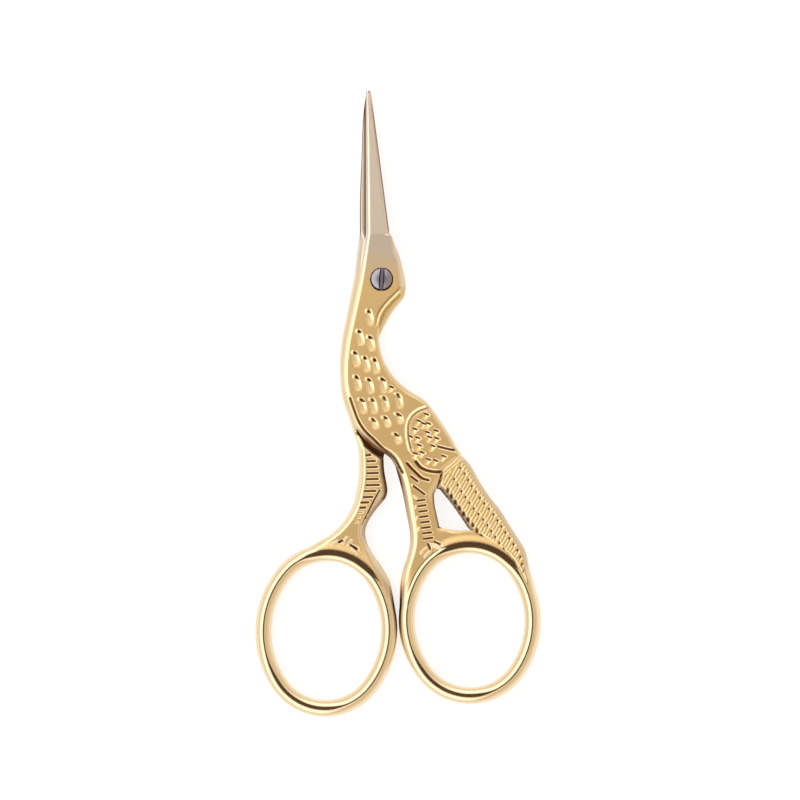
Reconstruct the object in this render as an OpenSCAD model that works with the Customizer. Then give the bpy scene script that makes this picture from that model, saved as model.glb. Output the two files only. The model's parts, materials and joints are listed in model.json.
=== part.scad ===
// Stork embroidery scissors: two forged halves, crossing at one slotted pivot screw.
// The scissors lie flat and closed. +X is to the right and +Y towards the tips, seen from
// above, and +Z rises from the surface they rest on. The outlines are drawn about the pivot
// and then moved so that the origin is the middle of the closed scissors, at the underside.

/* [Blades] */
// Length of the front blade, from the pivot to its tip
blade_len = 34.6; // [30:0.1:48]
// How much shorter the rear blade is
rear_short = 0.5; // [0.2:0.1:1]
// Distance from the pivot up to the blade's heel
heel_y = 8.2; // [7.4:0.1:9]
// Width of a blade at its heel
blade_w = 4.3; // [3.8:0.1:4.8]
// Width of a blade at its tip
tip_w = 0.9; // [0.6:0.1:1.2]
// Distance of the front blade's spine to the left of the pivot
spine_x = 2.85; // [2.5:0.05:3.1]
// Distance of the tips to the left of the pivot
tip_x = 2.45; // [2.2:0.05:2.6]
// Thickness of a blade at its tip
tip_t = 0.55; // [0.4:0.05:0.8]
// Thickness left at the very edge of a blade
edge_t = 0.12; // [0.05:0.01:0.2]
// Angle of the ground cutting bevel, from the flat of the blade
edge_angle = 66; // [55:1:75]
// Drop of the spine bevel at the outer side
spine_drop = 0.4; // [0.2:0.05:0.6]
// Angle of the spine bevel, from the flat of the blade
spine_angle = 30; // [20:1:45]
// How far the rear blade shows at the left of the front one
blade_show = 1.15; // [0.8:0.05:1.4]

/* [Lap joint] */
// Thickness of each half where the two cross
half_t = 1.68; // [1.4:0.02:2.2]
// Gap between the crossing faces
lap_gap = 0.04; // [0.02:0.01:0.1]
// Distance from the pivot to the left edge of the front half
joint_left = 4.3; // [4:0.1:5]
// Distance from the pivot to the right edge of the front half
joint_right = 4.1; // [3.8:0.1:4.6]
// How far the rear half shows past the front one, beside the neck
rear_show = 0.7; // [0.4:0.05:0.9]

/* [Pivot screw] */
// Diameter of the shank that the front half turns on
shank_d = 2.4; // [2:0.1:2.8]
// Diameter of the threaded end in the rear half
thread_d = 2.1; // [1.6:0.1:2.3]
// Diameter of the head
head_d = 4; // [3.4:0.1:4.4]
// Depth of the seat for the head
seat_depth = 0.8; // [0.6:0.05:1]
// Height of the head's dome above the front face
dome_h = 0.35; // [0.2:0.05:0.5]
// Width of the driver slot
slot_w = 0.7; // [0.5:0.05:0.9]
// Depth of the driver slot, from the rim of the head
slot_depth = 0.35; // [0.2:0.05:0.5]
// Turn of the driver slot from the blades' direction
slot_turn = -4; // [-90:1:90]
// Radial running clearance of the shank in the front half
bore_gap = 0.05; // [0.02:0.01:0.08]
// Radial clearance of the head in its seat
seat_gap = 0.1; // [0.05:0.01:0.15]
// Radial clearance of the thread in the rear half
thread_gap = 0.02; // [0.01:0.01:0.04]
// Recess of the screw's end below the back face
end_recess = 0.1; // [0.05:0.05:0.3]

/* [Bird] */
// Distance from the pivot down to the middle of the neck
neck_y = 11.5; // [10.5:0.1:12.5]
// Distance of the neck's middle to the left of the pivot
neck_x = 3.55; // [3.3:0.05:3.8]
// Width of the front half at the neck
neck_w = 6.2; // [5.8:0.1:6.6]
// Distance from the pivot down to the fork of the legs
fork_y = 32.6; // [31.6:0.1:33.6]
// Distance from the pivot across to the back, at the end of the wing
back_x = 14.8; // [14.2:0.1:15.6]
// Height of the wing over the body
wing_rise = 0.15; // [0.1:0.05:0.3]
// Gap down from the belly of the front half to the thigh of the rear one
thigh_gap = 0.9; // [0.6:0.1:1.2]
// How far the legs, tail and bridge lie below the front face
leg_drop = 0.15; // [0.05:0.05:0.3]
// How far the tail and bridge lie above the back face
tail_lift = 0.3; // [0.1:0.05:0.6]

/* [Bows] */
// Width over both bows, which is the width of the whole part
bows_w = 52.5; // [49:0.1:56]
// Thickness of the bow wire, seen from the front
wire_w = 3; // [2.6:0.1:3.4]
// Gap between the two closed bows
bow_gap = 0.2; // [0.1:0.05:0.4]
// Distance of the line where the bows meet to the right of the pivot
meet_x = 3; // [2.8:0.05:3.2]
// Height inside the front bow
front_in_h = 24.7; // [23:0.1:28]
// Distance from the pivot down to the top inside the front bow
front_top_y = 50.45; // [50:0.05:51]
// Lean of the front bow, positive to the left
front_lean = 1.7; // [0:0.1:3]
// Height inside the rear bow
rear_in_h = 25.6; // [23:0.1:28]
// Distance from the pivot down to the top inside the rear bow
rear_top_y = 51.9; // [51.4:0.05:52.4]
// Lean of the rear bow, positive to the left
rear_lean = -2.2; // [-3:0.1:0]

/* [Ornament] */
// Depth of the feather dents, ribs and grooves
cut_depth = 0.2; // [0.1:0.05:0.3]
// Radius of the ball that strikes a feather dent
dent_r = 0.9; // [0.6:0.1:1.2]
// Width of a rib groove across a leg
rib_w = 0.35; // [0.2:0.05:0.45]
// Distance between two rib grooves
rib_pitch = 1; // [0.8:0.05:1.2]
// Width of a groove along the tail
row_w = 0.3; // [0.2:0.05:0.5]
// Distance between two grooves along the tail
row_pitch = 2; // [1.6:0.1:2.2]

/* [Hidden] */
gold = "#d9b26a";
steel = "#c9b8a5";
$fn = 64;
STEPS = 3;       // spline steps between two chosen points
far = 60;        // reach of a cutting block, past everything
eps = 0.01;      // overlap that makes two solids one

// Levels over the surface that the scissors rest on
lap_z = half_t + lap_gap;
top_z = lap_z + half_t;
leg_z = top_z - leg_drop;

// The inner oval of a bow has four tangent arcs that meet where its outline slopes 3 in 4.
// Their centres lie 0.8 and 0.6 of step_r from the middle, and the radii differ by step_r.
function step_r(a, b) = 2.5 * (b - a);
function end_r(a, b) = a - 0.2 * step_r(a, b);
function side_r(a, b) = end_r(a, b) + step_r(a, b);
function bow_reach(a, b, lean) = side_r(a, b) + wire_w - 0.8 * step_r(a, b) * cos(lean);

// Bows as [half width, half height, centre x, centre y, lean], all of the inner oval
half_in_w = (bows_w - bow_gap) / 4 - wire_w;
function bow(in_h, top_y, lean, side) = [half_in_w, in_h / 2,
    meet_x + side * (bow_gap / 2 + bow_reach(half_in_w, in_h / 2, lean)), -top_y - in_h / 2, lean];
front_bow = bow(front_in_h, front_top_y, front_lean, 1);
rear_bow = bow(rear_in_h, rear_top_y, rear_lean, -1);

// A point of a bow where its outward normal has the angle th, at a distance out of the oval
function bow_point(b, th, out) =
    let (step = step_r(b[0], b[1]),
         p = abs(sin(th)) < 0.6
             ? [-sign(cos(th)) * 0.8 * step, 0] + (side_r(b[0], b[1]) + out) * [cos(th), sin(th)]
             : [0, sign(sin(th)) * 0.6 * step] + (end_r(b[0], b[1]) + out) * [cos(th), sin(th)])
    [b[2] + p[0] * cos(b[4]) - p[1] * sin(b[4]), b[3] + p[0] * sin(b[4]) + p[1] * cos(b[4])];
function bow_run(b, from, to, out, n) =
    [for (i = [0:n]) bow_point(b, from + (to - from) * i / n, out)];

// A smooth curve through chosen points, by Catmull and Rom's rule
function spline_at(a, b, c, d, t) =
    0.5 * (2 * b + (c - a) * t + (2 * a - 5 * b + 4 * c - d) * t * t
           + (3 * b - a - 3 * c + d) * t * t * t);
function smooth(p) = let (n = len(p) - 1)
    [for (i = [0:n - 1], j = [0:STEPS - 1])
        spline_at(p[max(i - 1, 0)], p[i], p[i + 1], p[min(i + 2, n)], j / STEPS), p[n]];

// Chosen points of the body follow neck_x, back_x, neck_y and fork_y: a drop of 0 is at the
// neck and 1 at the fork. body_point takes [x of the nominal body, drop].
NOMINAL_BACK = 14.8;
NOMINAL_NECK = 3.55;
function body_y(drop) = -neck_y - drop * (fork_y - neck_y);
function body_x(x) = -neck_x + (x + NOMINAL_NECK)
    * (x < 0 ? 1 : (back_x + neck_x) / (NOMINAL_BACK + NOMINAL_NECK));
function body_point(p) = [body_x(p[0]), body_y(p[1])];
function body_points(list) = [for (p = list) body_point(p)];

// Chosen points of a leg lie across from the line where the bows meet, and a share of the way
// down from the fork to the top inside the bow
function leg_points(top, list) =
    [for (p = list) [meet_x + p[0], -fork_y - p[1] * (top - fork_y)]];

// Chosen points of the tail are shares of the way across and down, from the end of the back
// to the bow
function tail_points(list) = let (end = bow_point(front_bow, TAIL_AT, wire_w))
    [for (p = list) [back_x + p[0] * (end[0] - back_x), -fork_y + p[1] * (end[1] + fork_y)]];

// Where the legs and the tail run out on the bows, as directions from a bow's middle
LEG_AT = 171;
TAIL_AT = 18;
REAR_LEFT_AT = 109;
REAR_RIGHT_AT = 12;
front_crest = bow_run(front_bow, LEG_AT, TAIL_AT, wire_w / 2, 24);
rear_crest = bow_run(rear_bow, REAR_LEFT_AT, REAR_RIGHT_AT, wire_w / 2, 16);

// Front half, down its left side: blade spine, neck, belly and leg
front_spine = [[-tip_x - tip_w / 2, blade_len - tip_w / 2], [-spine_x, heel_y + 1]];
front_neck_left = smooth(concat(
    [[-spine_x, heel_y + 0.3], [-spine_x - 0.5, 5.3], [-joint_left, -0.2],
     [-joint_left - 0.75, -3.9], [-neck_x - neck_w / 2 + 0.8, -7.6],
     [-neck_x - neck_w / 2, -neck_y]],
    body_points([[-7.1, 0.2], [-7.05, 0.37], [-6.5, 0.5], [-5.6, 0.63], [-4.4, 0.77],
                 [-3, 0.86], [-1.6, 0.92], [-0.3, 0.96]])));
fork_run = leg_points(front_top_y, [[-1.8, 0], [-0.7, 0.08], [0, 0.2]]);
front_leg_left = smooth(concat(fork_run,
    leg_points(front_top_y, [[0.75, 0.36], [1.45, 0.56], [2.1, 0.76], [2.2, 0.88],
                             [1.95, 0.98], [1.4, 1.09], [0.9, 1.18], [0.4, 1.33]]),
    [bow_point(front_bow, LEG_AT, wire_w)]));

// Front half, down its right side: cutting edge, joint, throat, back and tail
heel_step = 0.3;
front_edge = [[-tip_x + tip_w / 2, blade_len], [blade_w - spine_x, heel_y]];
front_joint_right = smooth([
    [blade_w - spine_x + heel_step, heel_y - 0.1], [joint_right - 1.55, 5.9],
    [joint_right - 0.6, 3.5], [joint_right - 0.1, 0.7], [joint_right, -0.6],
    [joint_right - 0.15, -1.8], [joint_right - 0.65, -2.6]]);
front_back = smooth(concat(
    [[joint_right - 0.75, -2.7], [1.6, -4.4], [0.15, -6.3],
     [-neck_x + neck_w / 2 - 0.05, -8.6], [-neck_x + neck_w / 2, -neck_y]],
    body_points([[0.2, 0.14], [1, 0.22], [2.45, 0.32], [4.8, 0.42], [7.8, 0.51], [9.6, 0.61],
                 [11.2, 0.72], [12.6, 0.82], [13.7, 0.92], [NOMINAL_BACK, 1]])));
front_tail_right = smooth(tail_points([[0, 0], [0.11, 0.07], [0.25, 0.2], [0.39, 0.31],
    [0.52, 0.41], [0.65, 0.53], [0.79, 0.64], [0.87, 0.72], [0.9, 0.8], [0.94, 0.88], [1, 1]]));

// The body plate ends along the creases under the wing, where leg and tail begin, and the
// full thickness of leg and tail begins a little past the lap
body_end = body_points([[4.6, 1.12], [5.8, 1.16], [7.8, 1.2], [10.9, 1.14]]);
full_start = body_points([[12.5, 1.04], [9, 1.2], [3.4, 1.22]]);

// The window between leg and tail, and the wing's raised outline
window = concat(
    smooth(leg_points(front_top_y, [[6.8, 0.35], [6.55, 0.4], [6.75, 0.5], [7, 0.61],
                                    [7.25, 0.67], [7.8, 0.71]])),
    smooth(leg_points(front_top_y, [[8.6, 0.73], [9.6, 0.745], [10.7, 0.76], [12, 0.76]])),
    smooth(leg_points(front_top_y, [[12.4, 0.73], [12.1, 0.68], [11.4, 0.62], [9.6, 0.47],
                                    [7.9, 0.36]])));
wing = concat(
    smooth(body_points([[8.3, 0.56], [6.2, 0.61], [5, 0.7], [4.5, 0.79], [4.5, 0.91], [5, 1.02],
                        [6, 1.08], [7.2, 1.11], [9, 1.13], [11.2, 1.13]])),
    body_points([[14, 0.97]]),
    smooth(body_points([[12.9, 0.91], [11.7, 0.81], [10.2, 0.69], [8.9, 0.6]])));

// Rear half, down its left side: cutting edge, neck, thigh and leg
rear_len = blade_len - rear_short;
rear_edge = smooth([for (q = [[1, 0], [0.83, 0.5], [0.5, 0.78], [0.25, 1], [0.02, 1]])
    [-spine_x - blade_show * q[1], heel_y + (rear_len - heel_y) * q[0]]]);
rear_left = smooth(concat(
    [[-spine_x - blade_show - 0.1, heel_y - 0.8], [-spine_x - blade_show - 0.4, 5.7],
     [-joint_left - 0.85, -0.2], [-joint_left - 1.6, -3.9],
     [-neck_x - neck_w / 2 - rear_show + 0.75, -7.5],
     [-neck_x - neck_w / 2 - rear_show, -neck_y]],
    [for (p = [[-7, 0.2], [-6.85, 0.37], [-6.4, 0.51]]) body_point(p) - [rear_show, 0]],
    body_points([[-5.9, 0.68], [-5.2, 0.79], [-4.6, 0.87], [-4.2, 0.97]]),
    leg_points(rear_top_y, [[-7.15, 0.1], [-7.3, 0.23], [-8, 0.42], [-8.75, 0.52], [-9.8, 0.61],
                            [-11.1, 0.69], [-12.7, 0.76], [-14.5, 0.81]]),
    [bow_point(rear_bow, REAR_LEFT_AT, wire_w)]));

// Rear half, down its right side, mostly behind the front half: tuck is how far it hides
tuck = 0.35;
rear_spine = [[-tip_x, rear_len], [blade_w - spine_x - tuck, heel_y + 0.2]];
rear_right = smooth(concat(
    [[blade_w - spine_x - tuck + 0.2, heel_y - 0.6], [joint_right - 1.7, 5.6],
     [joint_right - 0.6, 3.2], [joint_right + 0.1, 0.6], [joint_right + 0.3, -1.2],
     [joint_right + 0.2, -2.5], [joint_right - 0.2, -3.7], [2.1, -5.9], [0.6, -8.5],
     [-neck_x + neck_w / 2 + 0.05, -neck_y + 0.8]],
    body_points([[-0.55, 0.06], [-0.2, 0.14], [0.5, 0.25], [1.7, 0.37], [2.6, 0.5], [3, 0.64],
                 [2.7, 0.78], [1.6, 0.9], [0.6, 0.97], [0.4, 1]])));
rear_leg_right = smooth(concat(
    leg_points(rear_top_y, [[-2.65, 0.02], [-2.55, 0.13], [-2.25, 0.22], [-1.95, 0.32],
                            [-2.15, 0.38], [-2.6, 0.42], [-4.05, 0.51], [-5.35, 0.61], [-6, 0.7],
                            [-5.95, 0.77], [-5.5, 0.85], [-4.5, 0.94], [-3.2, 1.04],
                            [-2.1, 1.13], [-1.3, 1.23]]),
    [bow_point(rear_bow, REAR_RIGHT_AT, wire_w)]));

// The thigh stands to full height below the belly, thigh_gap away from it
thigh_top = smooth([for (p = [[-0.3, 0.96], [-1.6, 0.92], [-3, 0.86], [-4.4, 0.77]])
    body_point(p) - [0, thigh_gap]]);
thigh_left = [for (p = rear_left) if (p[1] < body_y(0.91)) p];

// Feather dents of the front half, in rows down the neck and body
feathers = body_points([[-2.4, -0.26], [-4.1, -0.08], [-2.1, -0.03], [-4.8, 0.11], [-3, 0.15],
    [-1.3, 0.17], [-4.6, 0.32], [-2.2, 0.34], [0.2, 0.34], [-3.7, 0.51], [-1.7, 0.5], [0.5, 0.5],
    [3, 0.47], [-1.9, 0.68], [0.5, 0.66], [3, 0.64], [2.4, 0.81]]);

// First rib groove of each leg, and where the tail's grooves start
front_ribs_at = leg_points(front_top_y, [[3.7, 0.48]])[0];
rear_ribs_at = leg_points(rear_top_y, [[-5.8, 0]])[0];
rows_at = tail_points([[0.02, 0.06]])[0];
rows_end = tail_points([[0.84, 0.74]])[0];

// Shift from the pivot to the middle of the closed scissors
function bow_low(b) = b[3] - 0.6 * step_r(b[0], b[1]) * cos(b[4]) - end_r(b[0], b[1]) - wire_w;
left_x = meet_x - bow_gap / 2 - 2 * bow_reach(rear_bow[0], rear_bow[1], rear_lean);
right_x = meet_x + bow_gap / 2 + 2 * bow_reach(front_bow[0], front_bow[1], front_lean);
low_y = min(bow_low(front_bow), bow_low(rear_bow));
shift = [-(left_x + right_x) / 2, -(low_y + blade_len) / 2, 0];

// An outline between two levels
module slab(points, low, high) translate([0, 0, low]) linear_extrude(high - low) polygon(points);

// Reversed list, to walk back up an outline
function back_up(p) = [for (i = [len(p) - 1:-1:0]) p[i]];

// A whole round of bow wire, of stadium section, outside the radius r
module wire_round(r) {
    half = wire_w / 2;
    tall = top_z - wire_w;
    rotate_extrude($fn = 96) translate([r + half, half]) {
        circle(r = half, $fn = 32);
        translate([0, tall]) circle(r = half, $fn = 32);
        translate([-half, 0]) square([wire_w, tall]);
    }
}

// A bow: two side arcs and two end arcs, each the part of a round within a 3 to 4 wedge
module bow_ring(b) {
    step = step_r(b[0], b[1]);
    translate([b[2], b[3], 0]) rotate([0, 0, b[4]]) for (s = [1, -1]) {
        translate([-s * 0.8 * step, 0, 0]) intersection() {
            wire_round(side_r(b[0], b[1]));
            slab([[0, 0], s * far * [0.8, 0.6], s * far * [0.8, -0.6]], -1, top_z + 1);
        }
        translate([0, s * 0.6 * step, 0]) intersection() {
            wire_round(end_r(b[0], b[1]));
            slab([[0, 0], s * far * [0.8, 0.6], s * far * [-0.8, 0.6]], -1, top_z + 1);
        }
    }
}

// A cutting block whose lower face holds the line from p to q, and rises to the left of it
// by the given angle
module bevel_block(p, q, angle) {
    d = q - p;
    translate(p) rotate([0, -atan2(d[2], norm([d[0], d[1]])), atan2(d[1], d[0])])
        rotate([angle, 0, 0]) translate([-far / 2, -far / 2, 0]) cube([2 * far, far, far / 2]);
}

// Above a blade whose thickness falls from half_t at the heel to tip_t at the tip
module taper_block(len) {
    past = 5;
    fall = (half_t - tip_t) / (len - heel_y);
    translate([-far / 2, 0, 0]) rotate([90, 0, 90]) linear_extrude(far)
        polygon([[heel_y, half_t], [len + past, tip_t - past * fall], [len + past, half_t + 2],
                 [heel_y, half_t + 2]]);
}

// All the grinding of one blade whose inner face is at z = 0 and outer face up. Its cutting
// edge runs from edge_x at the heel to edge_tip, and its spine from spine_heel to spine_tip,
// with the edge on the right. Nothing is ground below the heel.
module blade_grind(len, edge_x, edge_tip, spine_heel, spine_tip) intersection() {
    union() {
        taper_block(len);
        bevel_block([edge_x, heel_y, edge_t], [edge_tip, len, edge_t], edge_angle);
        bevel_block([spine_tip, len, tip_t - spine_drop], [spine_heel, heel_y, half_t - spine_drop],
                    spine_angle);
    }
    translate([-far / 2, heel_y, -far / 2]) cube([far, far, far]);
}

// Feather dents struck into the front face
module feather_dents() for (p = feathers)
    translate([p[0], p[1], top_z + dent_r - cut_depth]) sphere(r = dent_r, $fn = 32);

// Rib grooves across a leg, down from its first one. Each starts step_x further across than
// the one before, and is turned by lean.
module rib_grooves(first, count, length, step_x, lean) for (i = [0:count - 1])
    translate([first[0] + i * step_x, first[1] - i * rib_pitch, leg_z - cut_depth])
        rotate([0, 0, lean]) translate([0, -rib_w / 2, 0]) cube([length, rib_w, 1]);

// Grooves down the tail, side by side from its outer edge inwards
module tail_rows() {
    d = rows_end - rows_at;
    translate([rows_at[0], rows_at[1], leg_z - cut_depth]) rotate([0, 0, atan2(d[1], d[0])])
        for (i = [1:3]) translate([1, -i * row_pitch, 0]) cube([norm(d) - 2, row_w, 1]);
}

module front_half() color(gold) difference() {
    union() {
        slab(concat(front_spine, front_neck_left, fork_run, body_end,
                    back_up(concat(front_edge, front_joint_right, front_back))), lap_z, top_z);
        slab(concat(front_leg_left, front_crest, back_up(front_tail_right)), lap_z, leg_z);
        slab(concat([for (p = front_leg_left) if (p[1] < full_start[2][1]) p], front_crest,
                    back_up(front_tail_right), full_start), tail_lift, leg_z);
        slab(wing, top_z - eps, top_z + wing_rise);
        bow_ring(front_bow);
    }
    slab(window, -1, top_z + 1);
    translate([0, 0, lap_z]) blade_grind(blade_len, blade_w - spine_x, -tip_x + tip_w / 2,
                                         -spine_x, -tip_x - tip_w / 2);
    cylinder(d = shank_d + 2 * bore_gap, h = far, center = true);
    translate([0, 0, top_z - seat_depth]) cylinder(d = head_d + 2 * seat_gap, h = 2);
    feather_dents();
    rib_grooves(front_ribs_at, 8, 2.1, 0.17, 8);
    tail_rows();
}

module rear_half() color(gold) difference() {
    union() {
        slab(concat(rear_edge, rear_left, rear_crest, back_up(rear_leg_right),
                    back_up(rear_right), back_up(rear_spine)), 0, half_t);
        slab(concat(thigh_top, thigh_left, rear_crest, back_up(rear_leg_right)), 0, leg_z);
        bow_ring(rear_bow);
    }
    translate([0, 0, half_t]) rotate([0, 180, 0])
        blade_grind(rear_len, spine_x + blade_show, tip_x, spine_x + tuck - blade_w, tip_x);
    cylinder(d = thread_d + 2 * thread_gap, h = far, center = true);
    rib_grooves(rear_ribs_at, 8, 2.6, 0, 0);
}

module pivot_screw() color(steel) difference() {
    head_z = top_z - seat_depth + lap_gap;
    ball_r = (head_d * head_d / 4 + dome_h * dome_h) / (2 * dome_h);
    union() {
        translate([0, 0, end_recess]) cylinder(d = thread_d, h = half_t - end_recess + eps);
        translate([0, 0, half_t]) cylinder(d = shank_d, h = head_z - half_t + eps);
        intersection() {
            translate([0, 0, head_z]) cylinder(d = head_d, h = seat_depth + dome_h);
            translate([0, 0, top_z + dome_h - ball_r]) sphere(r = ball_r, $fn = 128);
        }
    }
    rotate([0, 0, slot_turn]) translate([-slot_w / 2, -head_d, top_z - slot_depth])
        cube([slot_w, 2 * head_d, 2]);
}

translate(shift) front_half();
translate(shift) rear_half();
translate(shift) pivot_screw();
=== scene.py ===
import json
import math

import bmesh
import bpy
import numpy as np
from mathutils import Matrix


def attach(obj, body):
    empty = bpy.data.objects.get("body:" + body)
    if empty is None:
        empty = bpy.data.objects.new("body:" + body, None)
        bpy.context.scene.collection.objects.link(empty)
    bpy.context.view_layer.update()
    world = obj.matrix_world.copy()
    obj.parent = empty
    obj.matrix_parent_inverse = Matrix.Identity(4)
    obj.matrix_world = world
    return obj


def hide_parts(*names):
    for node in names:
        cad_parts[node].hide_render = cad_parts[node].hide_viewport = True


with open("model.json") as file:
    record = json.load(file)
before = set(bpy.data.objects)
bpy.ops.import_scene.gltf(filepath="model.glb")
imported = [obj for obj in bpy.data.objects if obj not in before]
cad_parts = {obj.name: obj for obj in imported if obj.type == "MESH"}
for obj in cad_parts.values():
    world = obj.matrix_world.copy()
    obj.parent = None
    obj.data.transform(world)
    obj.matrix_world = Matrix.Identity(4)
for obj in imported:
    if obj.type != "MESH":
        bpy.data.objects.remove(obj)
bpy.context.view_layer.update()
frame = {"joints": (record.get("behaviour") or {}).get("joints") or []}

# Lengths below are millimetres about the pivot: x to the right, y towards the tips, z over the
# floor. A drop is -y, and a direction is in degrees from the right, turning left.
MM = 0.001
PIVOT = np.array(frame["joints"][0]["pos_m"]) / MM
LAP, PLATE = 1.72, 1.68                # the front half's underside and the rear plate's upper face
TOP, LEG, LIFT = 3.4, 3.25, 0.3        # faces of body and legs, and underside of the front leg
HEEL, NECK, FORK = 8.2, 11.5, 32.6     # y of the blades' heel, drops to the neck and the legs' fork
MEET = 3.0                             # x of the line where the bows meet
FRONT_TIP, REAR_TIP = 34.6, 34.1       # y of the blades' tips
HALF_W, HALF_H = 1.5, 1.7              # half the width and half the height of the bows' wire
WIRE = 2 * HALF_W
BOW_GAP, THIGH_GAP = 0.2, 0.9          # between the bows, and between the belly and the thigh
STEP_DROP = 36.9                       # where the front half's underside steps down to LIFT
WINDOW_DROP, ANKLE = 45.6, 49.0        # the last level rows of the front half and the rear leg


# ---------------------------------------------------------------- curves
def curve(points, steps=8):
    """Smooth line through chosen points: between b and c it is half of 2b + (c-a)t
    + (2a-5b+4c-d)tt + (3b-a-3c+d)ttt, where a and d are the points before and after."""
    p = np.asarray(points, float)
    q = np.vstack([p[:1], p, p[-1:]])
    a, b, c, d = (q[i:len(q) - 3 + i, None, :] for i in range(4))
    t = (np.arange(steps) / steps)[None, :, None]
    line = 0.5 * (2 * b + (c - a) * t + (2 * a - 5 * b + 4 * c - d) * t**2
                  + (3 * b - a - 3 * c + d) * t**3)
    return np.vstack([line.reshape(-1, 2), p[-1:]])


def body(*points):
    """Points of the body as x and a drop, which is 0 at the neck and 1 at the fork of the legs."""
    p = np.array(points, float)
    return np.stack([p[:, 0], -NECK - p[:, 1] * (FORK - NECK)], 1)


def leg(bow, *points):
    """Points of a leg as x from the line where the bows meet, and a share of the way from the fork
    down to the inside of its bow."""
    p = np.array(points, float)
    return np.stack([MEET + p[:, 0], -FORK - p[:, 1] * (bow.top - FORK)], 1)


class Bow:
    """A bow about an inner oval of four arcs, which meet where its slope is 3 in 4. The centres of
    the side arcs lie 0.8 step and those of the end arcs 0.6 step from the middle."""

    def __init__(self, half_w, in_h, top, lean, side):
        """From the oval's half width and its height, the drop of its top, its lean in degrees, and
        1 for the right side or -1 for the left."""
        step = 2.5 * (in_h / 2 - half_w)
        self.top, self.step, self.lean = top, step, math.radians(lean)
        self.end = half_w - 0.2 * step
        reach = self.end + step + WIRE - 0.8 * step * math.cos(self.lean)
        self.mid = np.array([MEET + side * (BOW_GAP / 2 + reach), -top - in_h / 2])
        self.middle = self.at(np.arange(0, 361, 3.0), HALF_W)

    def at(self, directions, out):
        """Points at these directions of the outward normal, at a distance out of the inner oval:
        an arc's centre, plus its radius and that distance along the normal, turned by the lean."""
        th = np.radians(directions)
        side = np.abs(np.sin(th)) < 0.6
        r = np.where(side, self.end + self.step, self.end) + out
        x = r * np.cos(th) - np.where(side, np.sign(np.cos(th)) * 0.8 * self.step, 0)
        y = r * np.sin(th) + np.where(side, 0, np.sign(np.sin(th)) * 0.6 * self.step)
        c, s = math.cos(self.lean), math.sin(self.lean)
        return np.stack([x * c - y * s, x * s + y * c], -1) + self.mid

    def direction(self, x, y):
        """The direction from the bow's middle to a point."""
        return np.degrees(np.arctan2(y - self.mid[1], x - self.mid[0])) % 360


FRONT_BOW = Bow(10.075, 24.7, 50.45, 1.7, 1)
REAR_BOW = Bow(10.075, 25.6, 51.9, -2.2, -1)
# Directions at which the feet end on their bows: the front leg's left edge, its right edge and the
# bridge's right edge, and both edges of the rear leg
FRONT_FOOT, REAR_FOOT = (171, 112, 24), (109, 12)

front_left = np.vstack([
    [[-2.9, FRONT_TIP], [-2.85, 9.2]],
    curve(np.vstack([
        [[-2.85, 8.5], [-3.35, 5.3], [-4.3, -0.2], [-5.05, -3.9], [-5.85, -7.6], [-6.65, -11.5]],
        body([-7.1, 0.2], [-7.05, 0.37], [-6.5, 0.5], [-5.6, 0.63], [-4.4, 0.77], [-3, 0.86],
             [-1.6, 0.92], [-0.3, 0.96]),
        leg(FRONT_BOW, [-1.8, 0], [-0.7, 0.08], [0, 0.2], [0.75, 0.36], [1.45, 0.56], [2.1, 0.76],
            [2.2, 0.88], [1.95, 0.98], [1.4, 1.09], [0.9, 1.18], [0.4, 1.33]),
        FRONT_BOW.at(FRONT_FOOT[:1], WIRE)]))])
front_right = np.vstack([
    [[-2.0, FRONT_TIP], [1.45, 8.2]],
    curve(np.vstack([
        [[1.75, 8.1], [2.55, 5.9], [3.5, 3.5], [4, 0.7], [4.1, -0.6], [3.95, -1.8], [3.45, -2.6],
         [3.35, -2.7], [1.6, -4.4], [0.15, -6.3], [-0.5, -8.6], [-0.45, -11.5]],
        body([0.2, 0.14], [1, 0.22], [2.45, 0.32], [4.8, 0.42], [7.8, 0.51], [9.6, 0.61],
             [11.2, 0.72], [12.6, 0.82], [13.7, 0.92], [14.55, 0.99]),
        [[12.8, -33.9], [11.0, -35.6], [10.5, -37.2], [9.9, -39.0]]])),
    curve([[9.6, -39.7], [9.75, -41.6], [10.1, -43.3], [10.5, -45.0], [10.6, -45.6]])])
tail_right = curve([
    [14.4, -32.2], [16.25, -34.2], [18.1, -37.4], [19.9, -40.1], [21.8, -42.5], [23.6, -45.4],
    [25.4, -48.2], [26.2, -49.5], [26.7, -51.0], [27.2, -53.4], [27.9, -55.6], [28.4, -57.6]])
tail_left = curve([
    [10.9, -35.5], [10.2, -37.2], [10.0, -38.4], [10.75, -38.8], [11.65, -39.9], [12.57, -41.0],
    [13.5, -42.3], [14.4, -43.6], [15.15, -44.7], [16.0, -45.9], [17.4, -46.8], [19.6, -48.0],
    [22.0, -49.5], [24.2, -51.6], [26.0, -54.5], [27.0, -57.6]])
tail_loop = np.vstack([tail_right, tail_left[::-1]])
window_low = curve([[10.6, -45.6], [11.6, -46.0], [12.6, -46.3], [13.7, -46.45], [15.3, -46.2],
                    [17.9, -46.3]])
bridge_right = curve([[17.9, -46.3], [21.0, -48.0], [23.8, -50.4], [26.0, -54.0]])[:-8]
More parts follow.
